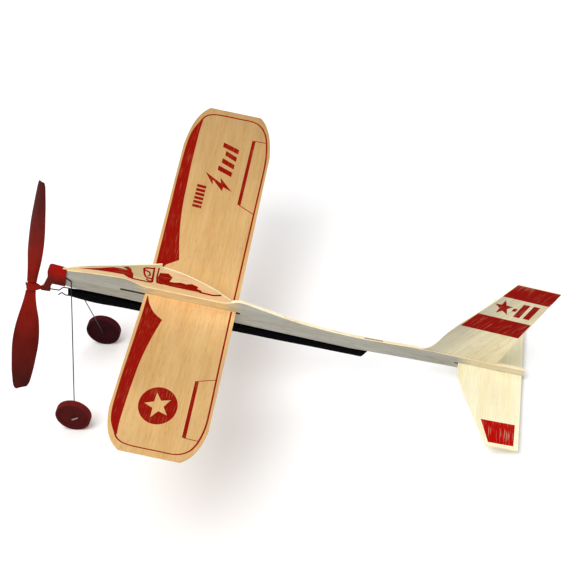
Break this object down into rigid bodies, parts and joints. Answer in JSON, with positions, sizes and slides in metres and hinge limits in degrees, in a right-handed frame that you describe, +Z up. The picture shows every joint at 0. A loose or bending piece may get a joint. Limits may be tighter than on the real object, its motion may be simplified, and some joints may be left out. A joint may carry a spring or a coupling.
{
  "type": "rubber band powered toy plane",
  "caption": "Stick-fuselage balsa plane with a V wing in a fuselage slot, a propeller on a hooked wire shaft turned by a rubber band, and wheels on a bent wire leg",
  "frame": {"origin": "on the floor under the middle of the plane's bounding box, the plane standing on its wheels and tail", "axes": "+X runs aft along the plane, +Y to starboard, +Z up"},
  "size_m": [0.4542, 0.4112, 0.1936],
  "materials": {
    "fuselage_balsa": "raw balsa",
    "wing_balsa": "raw balsa, printed red",
    "canopy_balsa": "raw balsa, printed red",
    "fin_balsa": "raw balsa, printed red",
    "stabilizer_balsa": "raw balsa, printed red",
    "cap_plastic": "moulded",
    "propeller_plastic": "moulded",
    "wire_steel": "drawn wire",
    "band_rubber": "dusted rubber",
    "wheel_plastic": "moulded"
  },
  "bodies": {
    "airframe": {"fuselage": "fuselage_balsa", "canopy": "canopy_balsa", "fin": "fin_balsa", "stabilizer": "stabilizer_balsa", "nose_cap": "cap_plastic", "rear_hook": "wire_steel", "landing_gear": "wire_steel", "rubber_band": "band_rubber"},
    "propeller": {"propeller": "propeller_plastic", "propeller_shaft": "wire_steel"},
    "wing": {"wing": "wing_balsa"},
    "wheel_left": {"wheel_left": "wheel_plastic"},
    "wheel_right": {"wheel_right": "wheel_plastic"}
  },
  "joints": [
    {"name": "propeller_spin", "type": "hinge", "parent": "airframe", "child": "propeller", "pos_m": [-0.20641, 0, 0.11543], "axis": [0.9741, 0, -0.2263], "continuous": true, "deforming": ["rubber_band"]},
    {"name": "wheel_left_spin", "type": "hinge", "parent": "airframe", "child": "wheel_left", "pos_m": [-0.18186, -0.05196, 0.0151], "axis": [0.0403, 0.9992, 0], "continuous": true},
    {"name": "wheel_right_spin", "type": "hinge", "parent": "airframe", "child": "wheel_right", "pos_m": [-0.17767, 0.05196, 0.0151], "axis": [0.0403, 0.9992, 0], "continuous": true},
    {"name": "wing_trim_slide", "type": "slide", "parent": "airframe", "child": "wing", "axis": [0.9533, 0, -0.302], "range_m": [-0.0205, 0.003]}
  ]
}
